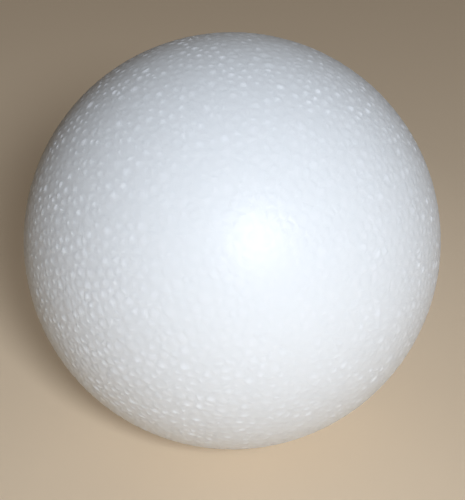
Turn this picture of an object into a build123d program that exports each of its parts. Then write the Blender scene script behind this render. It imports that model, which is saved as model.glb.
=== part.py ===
from build123d import *

import os

# A polystyrene ball, moulded in one piece and solid all the way through.
# Millimetres, +Z up, with the origin at the centre of the ball.

# Driving dimension
ball_diameter = 100.0

ball_radius = ball_diameter / 2

os.makedirs("parts", exist_ok=True)

# The ball is a half disc, with its straight side on the upright axis, turned once around that axis.
with BuildPart() as ball:
    with BuildSketch(Plane.XZ):
        with BuildLine():
            upright = Line((0, -ball_radius), (0, ball_radius))
            ThreePointArc(upright @ 1, (ball_radius, 0), upright @ 0)
        make_face()
    revolve(axis=Axis.Z)

ball.part.label = "ball"
export_step(ball.part, "parts/ball.step")
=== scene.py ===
import math

import bmesh
import bpy
import numpy as np
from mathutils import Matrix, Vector


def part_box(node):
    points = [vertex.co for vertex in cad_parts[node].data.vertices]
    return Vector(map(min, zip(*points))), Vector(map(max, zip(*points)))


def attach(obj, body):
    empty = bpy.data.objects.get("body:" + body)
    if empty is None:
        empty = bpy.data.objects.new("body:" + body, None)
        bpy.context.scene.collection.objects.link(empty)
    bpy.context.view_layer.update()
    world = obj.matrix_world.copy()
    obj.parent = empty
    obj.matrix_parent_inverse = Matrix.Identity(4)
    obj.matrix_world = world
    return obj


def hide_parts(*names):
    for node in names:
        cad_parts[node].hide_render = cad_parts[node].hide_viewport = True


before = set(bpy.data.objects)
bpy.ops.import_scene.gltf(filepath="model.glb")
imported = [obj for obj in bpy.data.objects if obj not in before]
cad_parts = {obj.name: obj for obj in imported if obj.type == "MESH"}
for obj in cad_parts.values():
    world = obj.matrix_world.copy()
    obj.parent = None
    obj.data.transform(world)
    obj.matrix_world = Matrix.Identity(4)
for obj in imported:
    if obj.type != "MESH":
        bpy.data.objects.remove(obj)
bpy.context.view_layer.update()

# to the nearest side of its box, so that the skin stays inside
ballRadius = min(abs(edge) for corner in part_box("ball") for edge in corner)
print(f"frame: ball {2000 * ballRadius:.2f} mm across")

scene = bpy.context.scene
scene.view_settings.view_transform = "Standard"


def unit(vectors):
    return vectors / np.linalg.norm(vectors, axis=-1, keepdims=True)


def dot(first, second):
    return (first * second).sum(axis=-1)


def between(limits, share):  # share 0 gives the first limit, 1 the second
    return limits[0] + (limits[1] - limits[0]) * share


# skin of foam beads, swollen by steam against a round mould: low domes that meet in valleys
beadSkin = {
    "seed": 7,
    "beads": 5400,  # about 2.6 mm each
    "stray": 0.30,  # scatter about an even spread, in bead widths
    "settlePasses": 2,  # 1 or more, each moves the beads to the middles of their cells
    "sizeSpread": 1.0,  # how hard a bead may push out its borders, 0 gives the most even beads
    "shortestSide": 0.00045,  # metres, junctions nearer than this run together
    "topDepth": (0.000003, 0.00003),  # metres under the ball's full radius
    "topLean": 0.007,  # slope of a bead's top
    "topShift": 0.2,  # off the bead's middle, share of the way to its nearest side
    "valleyDepth": (0.00006, 0.0001),  # metres at the junctions, before the gain below
    "domeRings": (  # share of the way out, of the fall to the valley, of the crown's grain, which roughens the crown and lightens it as a painted glint
        (0.56, 0.31, 0.0),
        (0.27, 0.07, 0.7),
    ),
    "valleyTone": 0.5,  # between the dullest bead, 0, and the whitest, 1
    "crownWidth": (0.7, 1.3),  # narrowest and widest bead crown, times the share of the way out
    "crownRarity": 1.1,  # higher leaves fewer beads with a grainy crown and its painted glint
    "patchPitch": 0.013,  # metres between patches of grainier crowns
    "patchWaves": 12,  # more make the patches less regular
    "patchGain": 0.3,  # how much the patches change the crowns
    "roughSide": (-0.742, -0.558, -0.372),  # the ball is rougher on this side
    "roughFocus": 4.0,  # higher keeps that nearer to the middle of the side
    "crownGain": (0.74, 1.42),  # away from that side and on it
    "valleyGain": (0.95, 2.1),
}


def spreadBeads(draw):
    count = beadSkin["beads"]
    step = np.arange(count) + 0.5
    height = 1 - 2 * step / count
    turn = step * math.pi * (3 - math.sqrt(5))  # golden angle
    ring = np.sqrt(1 - height**2)
    even = np.stack([ring * np.cos(turn), ring * np.sin(turn), height], axis=1)
    beadWidth = math.sqrt(4 * math.pi / count)
    return unit(even + draw.normal(scale=beadSkin["stray"] * beadWidth, size=even.shape))


def cellsAround(centres, push):
    lifted = centres * (1 + push[:, None])  # a lifted bead takes room from its neighbours
    hull = bmesh.new()
    for point in lifted:
        hull.verts.new(point)
    hull.verts.index_update()
    bmesh.ops.convex_hull(hull, input=hull.verts)  # its faces join neighbouring beads in threes
    trios = np.array([[vert.index for vert in face.verts] for face in hull.faces])
    hull.free()
    first, second, third = (lifted[trios[:, place]] for place in range(3))
    corners = unit(np.cross(second - first, third - first))
    corners *= np.sign(dot(corners, first))[:, None]
    bead = trios.ravel()
    trio = np.repeat(np.arange(len(trios)), 3)
    slant = (0.31, 0.52, 0.79)  # only fixes where each count round a bead begins
    east = unit(np.cross(slant, centres))
    north = np.cross(centres, east)
    away = ((first + second + third) / 3)[trio] - lifted[bead]
    angle = np.arctan2(dot(away, north[bead]), dot(away, east[bead]))
    order = np.lexsort((angle, bead))
    rings = np.split(trio[order], np.flatnonzero(np.diff(bead[order])) + 1)
    return corners, rings  # junctions on the unit ball, and each bead's junctions in order


def roomIn(cells, centres):  # from each bead's middle to its nearest side
    return np.array([
        np.linalg.norm((cell + np.roll(cell, 1, axis=0)) / 2 - centre, axis=1).min()
        for cell, centre in zip(cells, centres)])


def settleBeads(draw, centres):
    for _ in range(beadSkin["settlePasses"]):
        corners, rings = cellsAround(centres, np.zeros(len(centres)))
        cells = [corners[ring] for ring in rings]
        centres = unit(np.array([cell.mean(axis=0) for cell in cells]))
    push = beadSkin["sizeSpread"] * draw.random(len(centres)) * roomIn(cells, centres) ** 2
    return cellsAround(centres, push)


def joinJunctions(corners, rings):
    home = list(range(len(corners)))

    def rootOf(corner):
        while home[corner] != corner:
            corner = home[corner]
        return corner

    nearest = beadSkin["shortestSide"] / ballRadius
    for ring in rings:
        after = np.roll(ring, -1)
        close = np.linalg.norm(corners[ring] - corners[after], axis=1) < nearest
        turn = np.cross(corners[ring], corners[after]) @ corners[ring].mean(axis=0)
        close |= turn <= 0  # a side that runs backwards round its bead
        for here, there in zip(ring[close], after[close]):
            home[rootOf(int(there))] = rootOf(int(here))
    roots, kept = np.unique([rootOf(corner) for corner in home], return_inverse=True)
    joined = np.zeros((len(roots), 3))
    np.add.at(joined, kept, corners)
    newRings = [kept[ring] for ring in rings]
    newRings = [ring[ring != np.roll(ring, -1)] for ring in newRings]
    return unit(joined), [ring for ring in newRings if len(ring) > 2]


def nearRoughSide(directions):
    return np.clip(directions @ np.array(beadSkin["roughSide"]), 0, 1) ** beadSkin["roughFocus"]


def patchesOver(draw, directions):  # waves from all sides, which add up to about -2 to 2
    count = beadSkin["patchWaves"]
    waves = unit(draw.normal(size=(count, 3))) * 2 * math.pi * ballRadius / beadSkin["patchPitch"]
    shifts = 2 * math.pi * draw.random(count)
    return np.cos(directions @ waves.T + shifts).sum(axis=1) * math.sqrt(2 / count)


def shapeBeads(draw, corners, rings):
    sides = np.array([len(ring) for ring in rings])
    bead = np.repeat(np.arange(len(rings)), sides)  # one entry for each side of each bead
    corner = np.concatenate(rings)
    begins = np.cumsum(sides) - sides
    after = np.arange(len(bead)) + 1  # the next side round the same bead
    after[begins + sides - 1] = begins
    cells = [corners[ring] for ring in rings]
    middle = unit(np.array([cell.mean(axis=0) for cell in cells]))
    shift = beadSkin["topShift"] * roomIn(cells, middle)
    middle = unit(middle + draw.uniform(-1, 1, middle.shape) * shift[:, None])
    spoke = corners[corner] - middle[bead]
    length = np.linalg.norm(spoke, axis=1)
    radius = np.add.reduceat(length, begins) / sides

    valley = between(beadSkin["valleyDepth"], draw.random(len(corners)))
    valley *= between(beadSkin["valleyGain"], nearRoughSide(corners))
    tone = draw.random(len(rings))
    top = between(beadSkin["topDepth"], draw.random(len(rings)))
    lean = draw.normal(scale=beadSkin["topLean"], size=(len(rings), 3))
    # crown grain roughens a bead's crown and also lightens its colour, a painted glint, more of it
    # on the rough side
    crown = draw.random(len(rings)) ** beadSkin["crownRarity"]
    crown *= between(beadSkin["crownGain"], nearRoughSide(middle))
    crown *= 1 + beadSkin["patchGain"] * patchesOver(draw, middle)
    crown = np.clip(crown, 0, 1)
    width = between(beadSkin["crownWidth"], draw.random(len(rings)))

    places = [corners]
    depths = [valley]
    tones = [np.full(len(corners), beadSkin["valleyTone"])]
    grainsAndGlints = [np.zeros(len(corners))]
    faces = []
    outer = corner
    for step, (share, fall, grainAndGlint) in enumerate(beadSkin["domeRings"]):
        reach = share * width[bead] * np.minimum(length, radius[bead])  # round, short of the sides
        point = unit(middle[bead] + spoke * (reach / length)[:, None])
        level = top[bead] + ballRadius * dot(lean[bead], point - middle[bead])
        places.append(point)
        depths.append(between((level, valley[corner]), fall))
        tones.append(tone[bead])
        grainsAndGlints.append(grainAndGlint * crown[bead])
        inner = len(corners) + step * len(bead) + np.arange(len(bead))
        faces += [(outer, outer[after], inner[after]), (outer, inner[after], inner)]
        outer = inner
    faces.append((outer, outer[after], outer[-1] + 1 + bead))
    place = np.concatenate([*places, middle])
    depth = np.maximum(np.concatenate([*depths, top]), 0)
    looks = {
        "beadTone": np.concatenate([*tones, tone]),
        "crownGrainAndGlint": np.concatenate([*grainsAndGlints, crown]),
    }
    faceMiddle = middle[np.tile(bead, len(faces))]
    faces = np.concatenate([np.stack(trio, axis=1) for trio in faces])
    return place, depth, looks, faces, faceMiddle


def addMap(mesh, place, faces, faceMiddle):  # the six sides of a cube, three by two on the sheet
    axis = np.abs(faceMiddle).argmax(axis=1)
    facing = np.sign(np.take_along_axis(faceMiddle, axis[:, None], axis=1))
    corners = place[faces]

    def along(turn):
        pick = ((axis + turn) % 3)[:, None, None].repeat(3, 1)
        return np.take_along_axis(corners, pick, axis=2)[:, :, 0]

    ahead = along(0) * facing
    sideEdge = math.pi / 4  # from a side's middle to its edge, as seen from the ball's centre
    across = np.arctan2(along(1) * facing, ahead) / sideEdge
    upward = np.arctan2(along(2), ahead) / sideEdge
    tilesWide, tilesHigh = 3, 2
    fill = 0.47  # of a tile, each way from its middle
    sheetX = (axis[:, None] + 0.5 + fill * across) / tilesWide
    sheetY = ((facing > 0) + 0.5 + fill * upward) / tilesHigh
    layer = mesh.uv_layers.new(name="OFBake")
    layer.uv.foreach_set("vector", np.stack([sheetX, sheetY], axis=-1).astype(np.float32).ravel())


def makeSkin():
    draw = np.random.default_rng(beadSkin["seed"])
    corners, rings = settleBeads(draw, spreadBeads(draw))
    before = 0
    while len(corners) != before:  # joined junctions can come near to others
        before = len(corners)
        corners, rings = joinJunctions(corners, rings)
    place, depth, looks, faces, faceMiddle = shapeBeads(draw, corners, rings)
    mesh = bpy.data.meshes.new("beadSkin")
    mesh.from_pydata((place * (ballRadius - depth)[:, None]).tolist(), [], faces.tolist())
    mesh.shade_smooth()
    for name, values in looks.items():
        look = mesh.attributes.new(name, "FLOAT", "POINT")
        look.data.foreach_set("value", values.astype(np.float32))
    addMap(mesh, place, faces, faceMiddle)
    skin = bpy.data.objects.new("beadSkin", mesh)
    scene.collection.objects.link(skin)
    deepest = 1000 * depth.max()
    print(f"skin: {len(rings)} beads, {len(faces)} triangles, deepest valley {deepest:.2f} mm")
    return skin


# white bead foam: a touch of blue, a faint sheen, light carried under the skin, grainy crowns
# lightened a little as a painted glint
foam = {
    "white": (0.895, 0.93, 0.985),
    "grey": (0.88, 0.915, 0.97),  # the dullest bead
    "crown": (0.91, 0.94, 0.985),  # the grainiest crown, lightened as a painted glint; its rough diffuse throws light back towards the lamp
    "crownRoughness": 0.6,
    "cellsPerMetre": 2600.0,  # the fine cells within a bead
    "cellDetail": 2.0,
    "cellMix": 0.6,
    "cellHeight": 0.000006,  # metres
    "roughness": (0.37, 0.45),  # from cell to cell
    "shine": 0.3,
    "glow": 0.4,  # share of the light that goes under the skin
    "glowReach": 0.0004,  # metres
    "glowColour": (1.0, 1.0, 1.0),  # red, green and blue go equally far
}


def addNode(tree, kind, values=(), **settings):
    node = tree.nodes.new(kind)
    for name, value in settings.items():
        setattr(node, name, value)
    for name, value in dict(values).items():
        node.inputs[name].default_value = value
    return node


def opaque(colour):
    return (*colour, 1.0)


def foamMaterial():
    material = bpy.data.materials.new("whiteBeadFoam")
    material.use_nodes = True
    tree = material.node_tree
    surface = tree.nodes["Principled BSDF"]
    where = addNode(tree, "ShaderNodeTexCoord")
    cells = addNode(tree, "ShaderNodeTexNoise", {
        "Scale": foam["cellsPerMetre"],
        "Detail": foam["cellDetail"],
        "Roughness": foam["cellMix"],
    })
    tree.links.new(where.outputs["Object"], cells.inputs["Vector"])

    tone = addNode(tree, "ShaderNodeAttribute", attribute_name="beadTone")
    greyToWhite = {"A": opaque(foam["grey"]), "B": opaque(foam["white"])}
    beadColour = addNode(tree, "ShaderNodeMix", greyToWhite, data_type="RGBA")
    tree.links.new(tone.outputs["Fac"], beadColour.inputs["Factor"])
    grainAndGlint = addNode(tree, "ShaderNodeAttribute", attribute_name="crownGrainAndGlint")
    # lighter crown colour: a painted glint on the grainy crowns
    crownGlintColour = addNode(tree, "ShaderNodeMix", {"B": opaque(foam["crown"])}, data_type="RGBA")
    tree.links.new(beadColour.outputs["Result"], crownGlintColour.inputs["A"])
    tree.links.new(grainAndGlint.outputs["Fac"], crownGlintColour.inputs["Factor"])
    tree.links.new(crownGlintColour.outputs["Result"], surface.inputs["Base Color"])
    tree.links.new(grainAndGlint.outputs["Fac"], surface.inputs["Diffuse Roughness"])

    smoothest, roughest = foam["roughness"]
    rough = addNode(tree, "ShaderNodeMapRange", {"To Min": smoothest, "To Max": roughest})
    tree.links.new(cells.outputs["Fac"], rough.inputs["Value"])
    dull = addNode(tree, "ShaderNodeMix", {"B": foam["crownRoughness"]}, data_type="FLOAT")
    tree.links.new(rough.outputs["Result"], dull.inputs["A"])
    tree.links.new(grainAndGlint.outputs["Fac"], dull.inputs["Factor"])
    tree.links.new(dull.outputs["Result"], surface.inputs["Roughness"])
    relief = addNode(tree, "ShaderNodeBump", {"Distance": foam["cellHeight"]})
    tree.links.new(cells.outputs["Fac"], relief.inputs["Height"])
    tree.links.new(relief.outputs["Normal"], surface.inputs["Normal"])

    surface.inputs["Specular IOR Level"].default_value = foam["shine"]
    surface.inputs["Subsurface Weight"].default_value = foam["glow"]
    surface.inputs["Subsurface Radius"].default_value = foam["glowColour"]
    surface.inputs["Subsurface Scale"].default_value = foam["glowReach"]
    print("material: white bead foam")
    return material


ball = makeSkin()
ball.data.materials.append(foamMaterial())
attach(ball, "root")
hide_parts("ball")

# plain pale floor, wide enough for low views
floorSheet = {
    "halfWidth": 6.0,
    "colour": (0.74, 0.60, 0.44),
    "paleness": 0.14,  # own light, seen straight or in a mirror but lighting nothing
    "roughness": 0.75,
    "shine": 0.2,
}


def backgroundRays(tree):  # 1 for what the camera sees, straight or in a mirror
    path = addNode(tree, "ShaderNodeLightPath")
    seen = path.outputs["Is Camera Ray"]
    for kind in ("Is Glossy Ray", "Is Transmission Ray"):
        either = addNode(tree, "ShaderNodeMath", operation="MAXIMUM")
        tree.links.new(seen, either.inputs[0])
        tree.links.new(path.outputs[kind], either.inputs[1])
        seen = either.outputs["Value"]
    return seen


def makeFloor():
    half = floorSheet["halfWidth"]
    mesh = bpy.data.meshes.new("floorSheet")
    outline = [(-half, -half), (half, -half), (half, half), (-half, half)]
    mesh.from_pydata([(x, y, -ballRadius) for x, y in outline], [], [(0, 1, 2, 3)])
    sheet = bpy.data.objects.new("floorSheet", mesh)
    scene.collection.objects.link(sheet)
    material = bpy.data.materials.new("paleFloor")
    material.use_nodes = True
    tree = material.node_tree
    surface = tree.nodes["Principled BSDF"]
    surface.inputs["Base Color"].default_value = opaque(floorSheet["colour"])
    surface.inputs["Roughness"].default_value = floorSheet["roughness"]
    surface.inputs["Specular IOR Level"].default_value = floorSheet["shine"]
    surface.inputs["Emission Color"].default_value = opaque(floorSheet["colour"])
    strength = addNode(tree, "ShaderNodeMath", operation="MULTIPLY")
    tree.links.new(backgroundRays(tree), strength.inputs[0])
    strength.inputs[1].default_value = floorSheet["paleness"]
    tree.links.new(strength.outputs["Value"], surface.inputs["Emission Strength"])
    mesh.materials.append(material)
    print("floor: pale sheet under the ball")


makeFloor()

# the view, worked out from where the ball's outline sits in a 465 by 500 frame
viewpoint = {
    "frame": (465, 500),
    "outlineCentre": (232.2, 241.0),  # pixels from the frame's upper left corner
    "outlineRadius": 208.75,
    "elevation": 30.0,  # degrees
    "distance": 6.5,  # in ball radii
    "clipStart": 0.01,  # metres
}
tilt = math.radians(viewpoint["elevation"])
eyeDistance = viewpoint["distance"] * ballRadius
towardsEye = Vector((0, -math.cos(tilt), math.sin(tilt)))
eyeRight = Vector((1, 0, 0))
eyeUp = towardsEye.cross(eyeRight)
focalPixels = viewpoint["outlineRadius"] / math.tan(math.asin(1 / viewpoint["distance"]))


def makeCamera():
    offRight = viewpoint["outlineCentre"][0] - viewpoint["frame"][0] / 2
    offUp = viewpoint["frame"][1] / 2 - viewpoint["outlineCentre"][1]
    aim = -(eyeRight * offRight + eyeUp * offUp) * (eyeDistance / focalPixels)
    lens = bpy.data.cameras.new("camera")
    lens.lens = lens.sensor_width * focalPixels / max(viewpoint["frame"])
    lens.clip_start = viewpoint["clipStart"]
    eye = bpy.data.objects.new("camera", lens)
    eye.location = towardsEye * eyeDistance
    eye.rotation_euler = (aim - eye.location).to_track_quat("-Z", "Y").to_euler()
    scene.collection.objects.link(eye)
    scene.camera = eye
    print(f"camera: {lens.lens:.1f} mm lens, {1000 * eyeDistance:.0f} mm from the ball's centre")


makeCamera()

# soft key beside the camera, a low soft light behind, a little light from all round
lamps = {
    "keyDistance": 12.0,  # in ball radii
    "keyRight": 10.8,  # degrees from the line of sight
    "keyUp": 2.3,
    "keySize": 0.12,  # metres across
    "keyWatts": 2.97,
    "keyColour": (0.875, 0.93, 1.0),
    "backPlace": (0.0, 0.2, 0.0),  # near and low, so its light stays off the side in view
    "backSize": 0.1,
    "backSpread": 80.0,  # degrees
    "backWatts": 0.032,
    "around": (0.036, 0.026, 0.016),  # the light from all round
    "backdrop": (0.2, 0.17, 0.13),  # what is seen past the floor
}


def addLamp(name, place, size, watts, colour=(1.0, 1.0, 1.0), spread=180.0):
    light = bpy.data.lights.new(name, "AREA")
    light.shape = "DISK"
    light.size = size
    light.energy = watts
    light.color = colour
    light.spread = math.radians(spread)
    lamp = bpy.data.objects.new(name, light)
    lamp.location = place
    lamp.rotation_euler = (-Vector(place)).to_track_quat("-Z", "Y").to_euler()
    scene.collection.objects.link(lamp)
    return lamp


def makeLight():
    sideways = math.tan(math.radians(lamps["keyRight"]))
    upwards = math.tan(math.radians(lamps["keyUp"]))
    towardsKey = (towardsEye + eyeRight * sideways + eyeUp * upwards).normalized()
    key = towardsKey * lamps["keyDistance"] * ballRadius
    addLamp("keyLamp", key, lamps["keySize"], lamps["keyWatts"], lamps["keyColour"])
    back = addLamp("backLamp", lamps["backPlace"], lamps["backSize"], lamps["backWatts"],
                   spread=lamps["backSpread"])
    back.visible_glossy = False  # no gleam from it along the ball's edge
    world = bpy.data.worlds.new("room")
    scene.world = world
    world.use_nodes = True
    tree = world.node_tree
    sky = tree.nodes["Background"]
    aroundToBackdrop = {"A": opaque(lamps["around"]), "B": opaque(lamps["backdrop"])}
    colour = addNode(tree, "ShaderNodeMix", aroundToBackdrop, data_type="RGBA")
    tree.links.new(backgroundRays(tree), colour.inputs["Factor"])
    tree.links.new(colour.outputs["Result"], sky.inputs["Color"])
    print("light: key lamp, back lamp and room")


makeLight()
